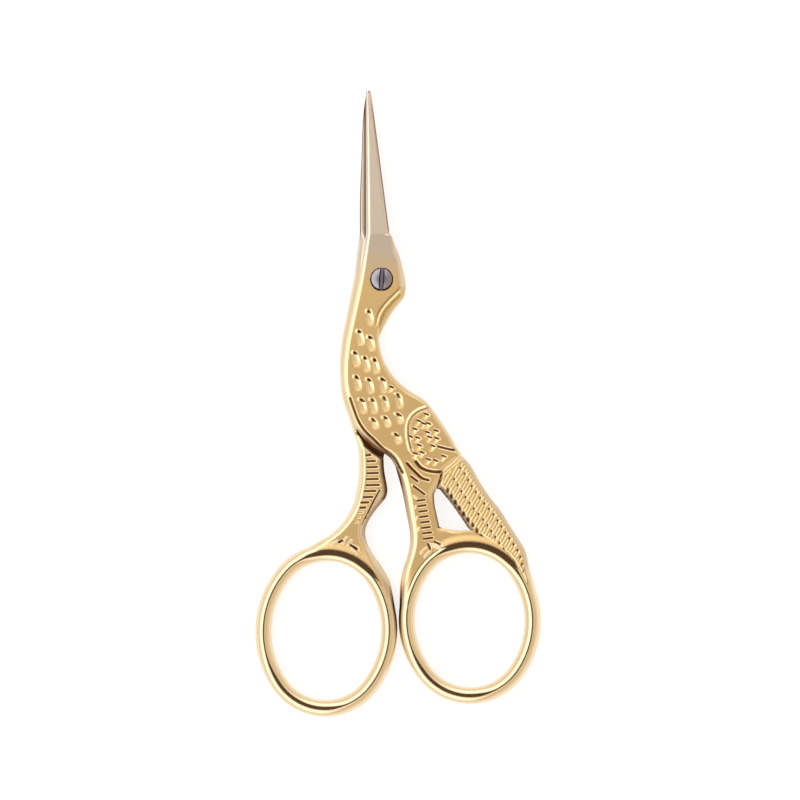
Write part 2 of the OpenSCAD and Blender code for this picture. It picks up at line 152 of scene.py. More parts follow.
rear_left = np.vstack([
    curve([[-2.85 - 1.15 * q, HEEL + (REAR_TIP - HEEL) * s]
           for s, q in [(1, 0), (0.83, 0.5), (0.5, 0.78), (0.25, 1), (0.02, 1)]]),
    curve(np.vstack([
        [[-4.1, 7.4], [-4.4, 5.7], [-5.15, -0.2], [-5.9, -3.9], [-6.6, -7.5], [-7.35, -11.5]],
        body([-7.7, 0.2], [-7.55, 0.37], [-7.1, 0.51], [-5.9, 0.68], [-5.2, 0.79], [-4.6, 0.87],
             [-4.2, 0.97]),
        leg(REAR_BOW, [-7.15, 0.1], [-7.3, 0.23], [-8, 0.42], [-8.75, 0.52], [-9.8, 0.61],
            [-11.1, 0.69], [-12.7, 0.76], [-14.5, 0.81]),
        REAR_BOW.at(REAR_FOOT[:1], WIRE)]))])
rear_right = np.vstack([
    [[-2.45, REAR_TIP], [1.1, 8.4]],
    curve(np.vstack([
        [[1.3, 7.6], [2.4, 5.6], [3.5, 3.2], [4.2, 0.6], [4.4, -1.2], [4.3, -2.5], [3.9, -3.7],
         [2.1, -5.9], [0.6, -8.5], [-0.4, -10.7]],
        body([-0.55, 0.06], [-0.2, 0.14], [0.5, 0.25], [1.7, 0.37], [2.6, 0.5], [3, 0.64],
             [2.7, 0.78], [1.6, 0.9], [0.6, 0.97], [0.4, 1]),
        leg(REAR_BOW, [-2.65, 0.02], [-2.55, 0.13], [-2.25, 0.22], [-1.95, 0.32], [-2.15, 0.38],
            [-2.6, 0.42], [-4.05, 0.51], [-5.35, 0.61], [-6, 0.7], [-5.95, 0.77], [-5.5, 0.85],
            [-4.5, 0.94], [-3.2, 1.04], [-2.1, 1.13], [-1.3, 1.23]),
        REAR_BOW.at(REAR_FOOT[1:], WIRE)]))])
thigh_top = body([-0.3, 0.96], [-1.6, 0.92], [-3, 0.86], [-4.4, 0.77]) - [0, THIGH_GAP]


def across(line, y):
    """The x at which a line that only runs down crosses the height y."""
    return np.interp(-y, -line[:, 1], line[:, 0])


def away(x, y, line):
    """Distance to a line: the least, over its pieces, of the distance to the nearest point of the
    piece."""
    best = np.full(x.shape, 1e9)
    for (ax, ay), (dx, dy) in zip(line[:-1], np.diff(line, axis=0)):
        t = np.clip(((x - ax) * dx + (y - ay) * dy) / (dx * dx + dy * dy + 1e-12), 0, 1)
        best = np.minimum(best, (x - ax - t * dx) ** 2 + (y - ay - t * dy) ** 2)
    return np.sqrt(best)


def inside(x, y, loop):
    """Whether points lie inside a closed line: going right, they cross it an odd number of
    times."""
    odd = np.zeros(x.shape, bool)
    for (ax, ay), (bx, by) in zip(loop, np.roll(loop, -1, 0)):
        if ay != by:
            odd ^= ((ay > y) != (by > y)) & (x < (bx - ax) * (y - ay) / (by - ay) + ax)
    return odd


# ---------------------------------------------------------------- relief
def down(y, drops, values):
    """A value read at the drop -y, by straight steps between the given ones."""
    return np.interp(-y, drops, values)


def smooth(t):
    """3tt - 2ttt, which leaves 0 and reaches 1 level."""
    return t * t * (3 - 2 * t)


def bell(d, width):
    """A rounded crest: e to the power -(d / width)^2."""
    return np.exp(-(d / width) ** 2)


def beside(d, full, width):
    """1 up to (full - 1) widths away from an edge, and straight down to 0 at full widths."""
    return np.clip(full - d / width, 0, 1)


def arc(direction, start, end, soft):
    """1 between two directions and 0 outside them, straight over soft degrees about each."""
    return np.clip(np.minimum(direction - start, end - direction) / soft + 0.5, 0, 1)


def edge_drop(d, y, rows):
    """How far a face falls towards an edge d away. Rows are [y, side width, side drop, rim width,
    rim drop, roundness], read by straight steps: the steep side is straight, and the rim falls by
    (1 - share)^roundness."""
    r = np.array(rows, float)
    sw, sd, rw, rd, power = (down(y, -r[:, 0], column) for column in r.T[1:])
    side = sd * np.clip(1 - d / np.maximum(sw, 1e-3), 0, 1)
    rim = rd * np.clip(1 - np.clip(d - sw, 0, None) / np.maximum(rw, 1e-3), 0, 1) ** power
    return side + rim


def groove(d, width, depth):
    """A rounded groove along a line d away: depth times (1 - (d / half width)^2), squared."""
    return depth * np.clip(1 - (2 * d / width) ** 2, 0, 1) ** 2


def struck(x, y, lines, width, depth):
    """Straight marks [x, y, x, y], the deepest of their grooves at each point."""
    out = np.zeros(x.shape)
    for ax, ay, bx, by in lines:
        out = np.maximum(out, groove(away(x, y, np.array([[ax, ay], [bx, by]])), width, depth))
    return out


def punch(x, y, places, depth, length, width, lean, sharp=0.14):
    """Drop-shaped dents, each from its point downwards: steep within the share sharp of its length
    above the point, then rising as (1 - share)^0.8 to the round lower end, and hollow across."""
    out = np.zeros(x.shape)
    c, s = math.cos(math.radians(lean)), math.sin(math.radians(lean))
    for px, py in places:
        u = (-(x - px) * s - (y - py) * c) / length
        v = ((x - px) * c - (y - py) * s) / width
        along_it = np.minimum(np.clip(1 + u / sharp, 0, 1), np.clip(1 - u, 0, 1) ** 0.8)
        wide = 0.3 + 0.7 * np.sqrt(np.clip((u + sharp) / 0.7, 0, 1))
        out = np.maximum(out, depth * along_it * np.clip(1 - (2 * v / wide) ** 2, 0, 1))
    return out


def hooks(places, size):
    """The bites of a hand-held punch at the points of the feathers, each a thin mark down to the
    right with a thick one over its first third. The n-th points -0.85 + 0.3 sin(7.1 n) radians and
    is size (0.55 + 0.15 sin(4.3 n)) long."""
    n = np.arange(len(places))
    aim, reach = -0.85 + 0.3 * np.sin(7.1 * n), size * (0.55 + 0.15 * np.sin(4.3 * n))
    a = np.array(places) + [-0.05, 0.1]
    b = a + np.stack([reach * np.cos(aim), reach * np.sin(aim)], 1)
    return np.hstack([a, b]), np.hstack([a, a + 0.35 * (b - a) + [0, -0.12]])


FILLET_LIFT, FILLET_ARC = 0.155, (42, 112)


def near_wire(x, y, z, bow, ends, *edges):
    """Runs a foot into its bow. From 42 to 112 degrees a fillet lifts it by 0.155 mm to the wire's
    crest, between 2.2 and 0.6 mm from the wire's middle line. Over the 35 degrees next to each end
    of the joined arc it takes on a round, 1.7 + 1.7 sqrt(1 - (d / (d + s))^2), where d is the
    distance to the wire's middle line and s that to the nearest of the foot's own edges."""
    d = away(x, y, bow.middle)
    direction = bow.direction(x, y)
    z = z + FILLET_LIFT * smooth(np.clip((2.2 - d) / 1.6, 0, 1)) * arc(direction, *FILLET_ARC, 12)
    inner = smooth(np.clip(np.minimum(direction - ends[0], ends[1] - direction) / 35, 0, 1))
    share = (1 - inner) * np.clip((4.5 - d) / 2.5, 0, 1)
    edge = np.minimum.reduce([away(x, y, line) for line in edges])
    round_z = HALF_H + 0.005 + HALF_H * np.sqrt(1 - (d / (d + edge + 1e-6)) ** 2)
    return z + share * (round_z - z)


# ---------------------------------------------------------------- meshes
CLOSE = np.array([0, 0.02, 0.07, 0.14, 0.3, 0.5, 0.7, 0.85, 1.0])  # columns from an edge inwards
RUN_IN = WIRE - HALF_W * CLOSE         # the same columns from a wire's outer side to its middle


def ruled_grid(a, b, n, lean_a=1, lean_b=1):
    """Rows from the points a to the points b, with the edge columns at both ends and n columns even
    between them. On rows too narrow for that the edge columns draw together. The leans lengthen
    their distances where a row meets its edge at a slant."""
    w = np.hypot(*(b - a).T)[:, None]
    p, q = CLOSE[None] * np.reshape(lean_a, (-1, 1)), CLOSE[None] * np.reshape(lean_b, (-1, 1))
    k = np.minimum(1, 0.9 * w / (p[:, -1:] + q[:, -1:]))
    p, q = p * k, w - q[:, ::-1] * k
    mid = p[:, -1:] + (q[:, :1] - p[:, -1:]) * (np.arange(1, n) / n)[None]
    t = (np.hstack([p, mid, q]) / w)[..., None]
    g = a[:, None] * (1 - t) + b[:, None] * t
    return g[..., 0], g[..., 1]


def level_grid(left_line, right_line, y, n):
    """Level rows at the heights y between two lines. The lean at a line is the root of 1 plus its
    slope squared."""
    xl, xr = across(left_line, y), across(right_line, y)
    lean = [np.sqrt(1 + np.gradient(v, y) ** 2) for v in (xl, xr)]
    return ruled_grid(np.stack([xl, y], 1), np.stack([xr, y], 1), n, *lean)


def coons(top, bottom, left, right, u=None):
    """A grid between four lines, the sum of the two ruled grids less the one between the
    corners."""
    u = (np.linspace(0, 1, len(top)) if u is None else u)[None, :, None]
    v = np.linspace(0, 1, len(left))[:, None, None]
    ruled = (1 - v) * top[None] + v * bottom[None] + (1 - u) * left[:, None] + u * right[:, None]
    corner = ((1 - u) * (1 - v) * top[0] + u * (1 - v) * top[-1]
              + (1 - u) * v * bottom[0] + u * v * bottom[-1])
    return ruled - corner


def spaced(*spans):
    """Heights going down: spans of (start, end, spacing), each without its last value but the
    last."""
    parts = [np.linspace(a, b, max(2, int(round(abs(a - b) / s)) + 1))[:-1] for a, b, s in spans]
    return np.concatenate(parts + [[spans[-1][1]]])


def along(line, shares):
    """Points of a line at these shares of its length."""
    s = np.concatenate([[0], np.cumsum(np.hypot(*np.diff(line, axis=0).T))])
    return np.stack([np.interp(shares * s[-1], s, line[:, k]) for k in (0, 1)], 1)


def resample(line, n):
    """n points along a line, evenly spaced."""
    return along(line, np.linspace(0, 1, n))


def part_of(line, y0, y1):
    """The run of a line between two heights, going down, with its ends cut there."""
    between = line[(line[:, 1] < y0) & (line[:, 1] > y1)]
    return np.vstack([[[across(line, y0), y0]], between, [[across(line, y1), y1]]])


def raised(x, y, height):
    """Points of a surface whose height is a function of x and y."""
    return np.stack([x, y, height(x, y)], -1)


def grid_faces(rows, cols, start=0):
    """Quads of a grid whose rows go down and columns to the right, facing up."""
    i = start + np.arange(rows * cols).reshape(rows, cols)
    return np.stack([i[:-1, :-1], i[1:, :-1], i[1:, 1:], i[:-1, 1:]], -1).reshape(-1, 4)


def weld(points, faces):
    """Joins points that lie within a tenth of a micrometre."""
    _, first, inverse = np.unique(np.round(points / 1e-4).astype(np.int64), axis=0,
                                  return_index=True, return_inverse=True)
    return points[first], inverse.ravel()[faces]


def joined(upper, lower):
    """One surface from two grids, where the last row of the upper is the first of the lower."""
    faces = [grid_faces(*upper.shape[:2]), grid_faces(*lower.shape[:2], upper[..., 0].size)]
    return weld(np.vstack([upper.reshape(-1, 3), lower.reshape(-1, 3)]), np.vstack(faces))


def rim_loop(faces):
    """The single closed run of edges that only one face has, in the faces' own direction."""
    e = np.stack([faces, np.roll(faces, -1, 1)], -1).reshape(-1, 2)
    e = e[e[:, 0] != e[:, 1]]
    n = int(faces.max()) + 1
    code, back = e[:, 0] * n + e[:, 1], e[:, 1] * n + e[:, 0]
    free = e[~np.isin(code, back)]
    after = dict(zip(free[:, 0].tolist(), free[:, 1].tolist()))
    loop = [int(free[0, 0])]
    while after[loop[-1]] != loop[0]:
        loop.append(after[loop[-1]])
    return np.array(loop)


def slab_below(points, faces, low, split=-np.inf, deeper=None):
    """Closes a surface below with walls and a flat face at low, or past the height split at deeper,
    with a step."""
    loop = rim_loop(faces)
    n, m = len(points), len(loop)
    faces = faces.tolist()
    deep = points[loop, 1] < split - 1e-6
    if deep.any():
        loop = np.roll(loop, 1 - np.flatnonzero(deep & ~np.roll(deep, 1))[0])
    under = points[loop]
    under[:, 2] = low
    a = n + np.arange(m)
    walls = np.stack([loop, a, np.roll(a, -1), np.roll(loop, -1)], 1).tolist()
    if not deep.any():
        return np.vstack([points, under]), faces + walls + [a[::-1].tolist()]
    k = int(deep.sum())
    foot = under[:k + 2].copy()
    foot[:, 2] = deeper
    b = n + m + np.arange(k + 2)
    walls[:k + 1] = np.stack([loop[:k + 1], b[:-1], b[1:], loop[1:k + 2]], 1).tolist()
    walls[0].insert(1, int(a[0]))
    walls[k].insert(3, int(a[k + 1]))
    flats = [b[::-1].tolist(), [int(a[0]), int(a[k + 1]), int(b[-1]), int(b[0])],
             np.concatenate([a[k + 1:], a[:1]])[::-1].tolist()]
    return np.vstack([points, under, foot]), faces + walls + flats


def sides(rows):
    """Quads between closed rows of point numbers, each row joined to the next."""
    nxt = np.roll(rows, -1, 1)
    return np.stack([rows[:-1], rows[1:], nxt[1:], nxt[:-1]], -1).reshape(-1, 4).tolist()


def tube(loops):
    """A closed form from loops of points, one after the other, with flat ends."""
    rows = np.arange(loops[..., 0].size).reshape(loops.shape[:2])
    return loops.reshape(-1, 3), sides(rows) + [rows[0].tolist(), rows[-1][::-1].tolist()]


def ring(loops):
    """A closed form from loops of points that come round to the first again."""
    rows = np.arange(loops[..., 0].size).reshape(loops.shape[:2])
    return loops.reshape(-1, 3), sides(np.vstack([rows, rows[:1]]))


def turned(profile, steps=64):
    """A closed form turned about the pivot's axis, from points (radius, height) that start and end
    on it: x is radius times cosine and y radius times sine."""
    th = np.arange(steps) * 2 * np.pi / steps
    r, z = np.array(profile[1:-1], float).T[..., None]
    loops = np.stack([r * np.cos(th), r * np.sin(th), z + 0 * th], -1)
    rows = np.arange(loops[..., 0].size).reshape(loops.shape[:2])
    ends = [[0, 0, profile[0][1]], [0, 0, profile[-1][1]]]
    first, final = rows[0], rows[-1]
    caps = [np.stack([0 * first + rows.size, np.roll(first, -1), first], 1),
            np.stack([0 * final + rows.size + 1, final, np.roll(final, -1)], 1)]
    return np.vstack([loops.reshape(-1, 3), ends]), sides(rows) + np.vstack(caps).tolist()


def solid(name, points, faces):
    """A mesh object of points in millimetres about the pivot, with its faces turned outward."""
    mesh = bpy.data.meshes.new(name)
    mesh.from_pydata(((points + [PIVOT[0], PIVOT[1], 0]) * MM).tolist(), [], faces)
    mesh.validate()
    mesh.update()
    obj = bpy.data.objects.new(name, mesh)
    bpy.context.scene.collection.objects.link(obj)
    bm = bmesh.new()
    bm.from_mesh(mesh)
    bmesh.ops.recalc_face_normals(bm, faces=bm.faces)
    bm.to_mesh(mesh)
    bm.free()
    return obj


def combine(obj, others, operation):
    """Adds or takes away closed forms, which are then gone."""
    for o in others:
        m = obj.modifiers.new("combine", "BOOLEAN")
        m.operation, m.object, m.solver = operation, o, "MANIFOLD"
        bpy.context.view_layer.update()
        evaluated = obj.evaluated_get(bpy.context.evaluated_depsgraph_get())
        done = bpy.data.meshes.new_from_object(evaluated)
        obj.modifiers.clear()
        obj.data = done
        bpy.data.objects.remove(o)


def bow_wire(bow, flat_from, flat_to, steps=260, half=18):
    """The wire of a bow: |across / 1.5|^p + |height / 1.7|^p = 1. The power p is 2 for a round
    wire, and flattens the crest where it is more: by up to 1.2 on the arc that the leg runs into,
    and by up to 0.75 at the lower left."""
    th = np.arange(steps) * 360 / steps
    flat, low_left = smooth(arc(th, flat_from, flat_to, 25)), smooth(arc(th, 205, 285, 25))
    p = (2 + 1.2 * flat + 0.75 * low_left)[:, None]
    psi = np.radians(np.arange(-half, half) * 90 / half)
    out = HALF_W * np.sin(psi)[None] * np.ones((steps, 1))
    z = HALF_H * (1 - np.abs(out / HALF_W) ** p) ** (1 / p)
    out = np.hstack([out, -out])
    mid = bow.at(th, HALF_W)
    th = (np.radians(th) + bow.lean)[:, None]
    return ring(np.stack([mid[:, :1] + out * np.cos(th), mid[:, 1:] + out * np.sin(th),
                          HALF_H + np.hstack([z, -z])], -1))


# ---------------------------------------------------------------- front half
# Rows of every rim: y, side width, side drop, rim width, rim drop, roundness
LEFT_RIM = [
    [34.6, 0.02, 0.05, 0.3, 0.22, 1.1], [9, 0.05, 0.12, 0.6, 0.35, 1.1],
    [0, 0.08, 0.15, 0.8, 0.38, 1.2], [-20, 0.08, 0.15, 0.8, 0.36, 1.2],
    [-25, 0.1, 0.25, 0.9, 0.35, 1.6], [-31, 0.3, 0.26, 1.0, 0.35, 1.8],
    [-34, 0.6, 0.52, 0.9, 0.3, 1.6], [-37, 0.9, 0.8, 0.75, 0.2, 1.3],
    [-46, 0.7, 0.62, 0.75, 0.2, 1.3], [-52, 0.5, 0.45, 0.7, 0.3, 1.5],
    [-64, 0.3, 0.28, 0.6, 0.3, 1.6]]
RIGHT_RIM = [
    [34.6, 0.2, 0.17, 0.05, 0.02, 1], [8.25, 0.6, 0.52, 0.05, 0.02, 1],
    [8.1, 0.05, 0.1, 0.1, 0.05, 1.05], [5.5, 0.02, 0.05, 0.8, 0.5, 1.05],
    [-1.5, 0.02, 0.05, 0.8, 0.5, 1.05], [-2.6, 0.02, 0.05, 0.1, 0.02, 1.2],
    [-8, 0.02, 0.05, 0.1, 0.02, 1.2], [-12, 0.05, 0.15, 0.55, 0.38, 1.15],
    [-32, 0.05, 0.15, 0.6, 0.4, 1.15], [-33, 0.05, 0.15, 0.1, 0.1, 1.5],
    [-36, 0.05, 0.1, 0.9, 0.12, 1.1], [-39, 0.25, 0.22, 1.0, 0.35, 1.2],
    [-41, 0.3, 0.27, 0.9, 0.07, 1.2], [-46, 0.3, 0.27, 0.9, 0.05, 1.2]]
WINDOW_RIM = [[-40, 0.2, 0.17, 0.4, 0.03, 1.2], [-60, 0.2, 0.17, 0.4, 0.03, 1.2]]
TAIL_RIM = [[-32, 0.05, 0.15, 0.75, 0.48, 1.1], [-60, 0.05, 0.2, 0.75, 0.5, 1.1]]
TAIL_SIDE = [
    [-35.5, 0.2, 0.6, 0.1, 0.1, 1.4], [-37, 0.8, 0.72, 0.2, 0.1, 1.4],
    [-45, 0.85, 0.75, 0.2, 0.1, 1.4], [-46.5, 0.2, 0.3, 0.3, 0.1, 1.4],
    [-60, 0.1, 0.15, 0.3, 0.1, 1.4]]

# Points of the feathers, and the length, width and lean of the punches that struck them
FEATHERS = body([-2.35, -0.26], [-4.1, -0.085], [-2.15, -0.035], [-4.9, 0.10], [-3.05, 0.145],
                [-1.3, 0.16], [-4.65, 0.31], [-2.35, 0.335], [0.1, 0.33], [-3.7, 0.51],
                [-1.7, 0.51], [0.45, 0.49], [3.0, 0.465])
SMALL_FEATHERS = body([-1.6, 0.68], [0.65, 0.665], [3.0, 0.635], [2.6, 0.81])
FEATHER_PUNCH, SMALL_PUNCH, WING_PUNCH = (2.6, 1.5, -8), (1.9, 1.4, -20), (1.1, 0.95, 30)
FEATHER_DEPTH, SMALL_DEPTH, WING_DEPTH, FRONT_CUT = 0.24, 0.22, 0.16, 0.16
WING_ARC = [[8.2, -23.55], [6.7, -24.1], [5.3, -25.3], [4.7, -26.8], [4.6, -28.2], [4.75, -29.7],
            [5.2, -31.5]]
wing_arc = curve(WING_ARC)
wing_edge = curve(WING_ARC + [
    [6.3, -33.6], [7.8, -35.0], [9.5, -35.5], [10.9, -35.5], [12.6, -33.8], [14.5, -32.3],
    [13.0, -29.2], [11.2, -26.4], [9.6, -24.3], [8.2, -23.55]])
WING_MARKS = [
    [1.8, -19.9], [8.2, -24.9], [6.8, -26.1], [7.7, -26.6], [8.6, -26.6], [6.1, -27.6],
    [10.0, -27.9], [8.4, -28.2], [5.3, -29.0], [6.6, -29.2], [8.8, -29.1], [10.1, -29.3],
    [6.9, -30.6], [9.4, -30.7], [6.2, -32.1], [7.4, -31.9], [8.6, -33.2], [9.9, -33.4],
    [11.4, -32.6]]
WING_FLECKS = [[x - 0.3, y + 0.16, x + 0.42, y - 0.12] for x, y in WING_MARKS]
crease_one = curve([[6.3, -33.6], [7.0, -34.5], [8.0, -35.1], [9.4, -35.45], [10.9, -35.5]])
crease_two = curve([[4.7, -33.9], [5.3, -34.6], [6.2, -35.5], [7.4, -36.6], [8.6, -37.0]])
slit = curve([[10.4, -30.8], [11.5, -31.1], [13.3, -31.5]])
belly_line = curve([[-5.8, -21.9], [-4.9, -24.5], [-4.35, -25.9], [-3.45, -27.4], [-2.5, -28.5],
                    [-1.4, -29.5], [0.4, -31.3], [2.0, -32.6], [3.0, -34.2], [3.8, -35.6]])
divider = np.array([[10.9, -35.5], [14.5, -32.3]])
# Straight marks of the leg: x, y, x, y
FRONT_RIBS = [[6.75 + 0.17 * i, -41.8 - i, 8.1 + 0.2 * i, -41.6 - i] for i in range(-1, 7)]
FRONT_TOE_CUTS = [[8.5, -48.7, 8.9, -49.6], [9.7, -48.3, 11.0, -48.9], [5.9, -38.1, 7.9, -39.6],
                  [5.4, -36.3, 6.6, -37.2]]
FRONT_DASHES = [[5.6, -37.9, 6.1, -38.2], [5.95, -40.0, 6.6, -40.4], [6.2, -42.1, 6.35, -41.8],
                [6.45, -44.1, 6.55, -43.8], [6.8, -46.1, 6.9, -45.8]]
FRONT_TOE_RIDGES = [[9.1, -48.9, 10.8, -49.4], [8.0, -51.0, 9.0, -50.0], [7.3, -50.3, 8.2, -49.5]]
# The tail starts at its top and runs this way. Its ridges lean, two to each pit. Rows of pits:
# distance from the tail's edge at its top and at its foot, radius of a pit, length of the row.
TAIL_TOP, TAIL_WAY, TAIL_RUN, RIDGE_LEAN = (14.4, -32.2), (0.555, -0.832), 24, 0.496
PIT_PITCH = 1.33
RIDGE_PITCH = PIT_PITCH / 2
TAIL_ROWS = [(1.75, 1.15, 0.25, TAIL_RUN), (3.9, 3.05, 0.25, TAIL_RUN), (5.95, 5.3, 0.46, 13)]


def front_cuts(x, y):
    """The cuts of the front half's face, from 0 beside them to 1 at their deepest."""
    cut = struck(x, y, FRONT_RIBS, 0.6, 1)
    for places, size in ((FEATHERS[:6], 0.75), (FEATHERS[6:], 1.1), (SMALL_FEATHERS, 1.2)):
        for lines, width in zip(hooks(places, size), (0.44, 0.72)):
            cut = np.maximum(cut, struck(x, y, lines, width, 1))
    for lines, width in ((FRONT_TOE_CUTS, 0.62), (WING_FLECKS, 0.5)):
        cut = np.maximum(cut, struck(x, y, lines, width, 1))
    for line, width in ((slit, 0.72), (crease_one, 0.95), (crease_two, 0.85), (belly_line, 0.75)):
        cut = np.maximum(cut, groove(away(x, y, line), width, 1))
    between = inside(x, y, wing_edge) * bell(away(x, y, wing_arc) - 0.28, 0.08)
    return np.maximum(cut, 0.75 * between)


def front_top(x, y):
    """Height of the front half's face: its level, less the fall to the edges, a groove along the
    throat, the dents and the cuts, plus the wing's pad, which rises 0.08 mm over 0.5 mm, the two
    crests of its arc, the ridges and dashes of the leg, and a burr at each feather's point."""
    right, wing, d = away(x, y, front_right), inside(x, y, wing_edge), away(x, y, wing_arc)
    z = down(y, [-FRONT_TIP, -HEEL, 33, 46], [LAP + 0.55, TOP, TOP, LEG])
    z = z - edge_drop(away(x, y, front_left), y, LEFT_RIM) - edge_drop(right, y, RIGHT_RIM)
    z -= edge_drop(away(x, y, window_low), y, WINDOW_RIM)
    z -= 0.09 * bell(right - 0.55, 0.26) * down(y, [1, 2, 8, 10], [0, 1, 1, 0])
    z -= punch(x, y, FEATHERS, FEATHER_DEPTH, *FEATHER_PUNCH)
    z -= punch(x, y, SMALL_FEATHERS, SMALL_DEPTH, *SMALL_PUNCH)
    z -= punch(x, y, WING_MARKS, WING_DEPTH, *WING_PUNCH, sharp=0.25)
    z += 0.13 * bell(d, 0.15) + wing * 0.13 * bell(d - 0.56, 0.15)
    z += wing * 0.08 * np.clip(away(x, y, wing_edge) / 0.5, 0, 1)
    z += struck(x, y, FRONT_TOE_RIDGES, 0.6, 0.2) + struck(x, y, FRONT_DASHES, 0.45, 0.13)
    for px, py in np.vstack([FEATHERS, SMALL_FEATHERS]):
        z += 0.11 * bell(x - px + 0.42, 0.23) * bell(y - py - 0.1, 0.23)
    return near_wire(x, y, z - FRONT_CUT * front_cuts(x, y), FRONT_BOW, (-60, 168), front_left)


def tail_bands(x, y):
    """Share of the ridges at a point, share of the round pits in rows between the bands of ridges,
    the wave of the ridges, which is a cosine and 1 at their crests, and the run along the tail,
    which leans with them."""
    t = away(x, y, tail_right)
    run = (x - TAIL_TOP[0]) * TAIL_WAY[0] + (y - TAIL_TOP[1]) * TAIL_WAY[1] - RIDGE_LEAN * t
    beat = (run / PIT_PITCH - np.round(run / PIT_PITCH)) * PIT_PITCH
    band = np.clip((t - 0.7) / 0.25, 0, 1) * np.clip((away(x, y, divider) - 0.9) / 0.2, 0, 1)
    pits = 0 * x
    for first, final, radius, length in TAIL_ROWS:
        off = t - first - (final - first) * run / TAIL_RUN
        band = band * np.clip(np.abs(off) / 0.25, 0.15, 1)
        pits = np.maximum(pits, bell(beat, radius) * bell(off, radius) * (run > 1) * (run < length))
    wave = 0.5 + 0.5 * np.cos(2 * np.pi * run / RIDGE_PITCH)
    return band * np.clip((TAIL_RUN + 0.5 - run) / 0.6, 0, 1), pits, wave, run


def tail_cuts(x, y):
    """Painted shade on the tail: the pits, and more faintly the floor between two ridges, from 0 to
    1.
    """
    band, pits, wave, run = tail_bands(x, y)
    between = 0.55 * band * (1 - wave) ** 1.5 + 0.45 * (run > 1) * (1 - band)
    return np.clip(np.maximum(1.5 * pits, 0.3 * between * (run < TAIL_RUN)), 0, 1)


def tail_top(x, y):
    """Height of the tail: slanting ridges, a cosine to the power 2.5 along it, in bands between the
    rows of pits, and two crests beside the line that divides it from the wing."""
    band, pits, wave, _ = tail_bands(x, y)
    d = away(x, y, divider)
    z = LEG + 0.1 + 0.06 * band * wave ** 2.5 - 0.16 * pits
    z += 0.05 * bell(d - 0.25, 0.13) + 0.045 * bell(d - 0.8, 0.13)
    z -= edge_drop(away(x, y, tail_right), y, TAIL_RIM)
    z -= edge_drop(away(x, y, tail_left), y, TAIL_SIDE)
    return near_wire(x, y, z, FRONT_BOW, (16, 240), tail_right)


def front_body():
    """Body and right leg in level rows, then foot and bridge as a grid down to the bow's middle
    line."""
    y = spaced((FRONT_TIP, 8.25, 0.5), (8.25, 8.1, 0.08), (8.1, -3, 0.25), (-3, -9, 0.2),
               (-9, -STEP_DROP, 0.12), (-STEP_DROP, -WINDOW_DROP, 0.09))
    x, yy = level_grid(front_left, front_right, y, 94)
    upper = raised(x, yy, front_top)
    top = np.vstack([upper[-1, :, :2], resample(window_low, 41)[1:]])
    from_left, corner, to_right = FRONT_FOOT
    n, leg_n, k = len(top), x.shape[1], len(CLOSE)
    directions = np.concatenate([np.full(k, from_left),
                                 np.linspace(from_left, corner, leg_n - k + 1)[1:],
                                 np.linspace(corner, to_right, n - leg_n + 1)[1:]])
    low = FRONT_BOW.at(directions, np.concatenate([RUN_IN, np.full(n - k, HALF_W)]))
    end = FRONT_BOW.at(FRONT_FOOT[:1], WIRE)[0, 1]
    left = resample(part_of(front_left, -WINDOW_DROP, end), 80)
    foot = coons(top, low, left, resample(np.vstack([bridge_right, low[-1:]]), 80))
    lower = raised(foot[..., 0], foot[..., 1], front_top)
    return slab_below(*joined(upper, lower), LAP, -STEP_DROP, LIFT)


def front_tail(n=350):
    """The tail, ruled between its outer edge and the window in n rows."""
    x, y = ruled_grid(resample(tail_left, n), resample(tail_right, n), 36)
    top = raised(x, y, tail_top)
    return slab_below(top.reshape(-1, 3), grid_faces(*top.shape[:2]), LIFT)


front = solid("front_half_forged", *front_body())
combine(front, [solid("tail", *front_tail()), solid("wire", *bow_wire(FRONT_BOW, 36, 114))],
        "UNION")
# The screw's seat, a chamfered hole with a smaller one below, lies a little off the screw's centre
SEAT_OFF = 0.08
points, faces = turned([(0, 5), (2.12, 5), (2.12, 3.42), (2.05, 3.3), (2.05, 2.6), (1.3, 2.6),
                        (1.3, -1), (0, -1)])
combine(front, [solid("seat", points - [0, SEAT_OFF, 0], faces)], "DIFFERENCE")

# ---------------------------------------------------------------- rear half
REAR_PLATE_RIM = [
    [34.1, 0.05, 0.1, 0.1, 0.05, 1.4], [8.6, 0.1, 0.25, 0.15, 0.1, 1.4],
    [7, 0.2, 0.4, 0.8, 0.6, 1.1], [-33, 0.2, 0.4, 0.85, 0.6, 1.1]]
REAR_THROAT_RIM = [
    [8, 0.02, 0.05, 0.1, 0.05, 1], [6, 0.05, 0.1, 0.7, 0.4, 1], [-5, 0.05, 0.1, 0.6, 0.36, 1],
    [-11, 0.05, 0.1, 0.5, 0.3, 1], [-14, 0.02, 0.05, 0.1, 0.02, 1]]
REAR_LEFT_RIM = [
    [-28, 0.1, 0.3, 0.9, 0.5, 1.5], [-32, 0.5, 0.7, 0.6, 0.3, 1.4],
    [-38, 0.75, 1.0, 0.5, 0.2, 1.3], [-44, 0.5, 0.8, 0.7, 0.3, 1.4],
    [-48, 0.3, 0.6, 0.7, 0.3, 1.4], [-54, 0.2, 0.5, 0.5, 0.25, 1.5]]
REAR_RIGHT_RIM = [
    [-32, 0.5, 0.46, 0.35, 0.15, 1.4], [-38.5, 0.6, 0.55, 0.35, 0.15, 1.4],
    [-40.5, 0.8, 0.72, 0.7, 0.3, 1.2], [-46, 0.75, 0.68, 0.7, 0.3, 1.3],
    [-49, 0.5, 0.44, 0.9, 0.35, 1.6], [-54, 0.05, 0.1, 1.3, 0.7, 1.15],
    [-64, 0.05, 0.1, 1.3, 0.8, 1.15]]
THIGH_RIM = [[-25, 0.4, 0.37, 0.5, 0.25, 1.6], [-60, 0.4, 0.37, 0.5, 0.25, 1.6]]
THIGH_LEFT, THIGH_RIGHT = -28.3, -32.9     # y of the ends of the thigh's top
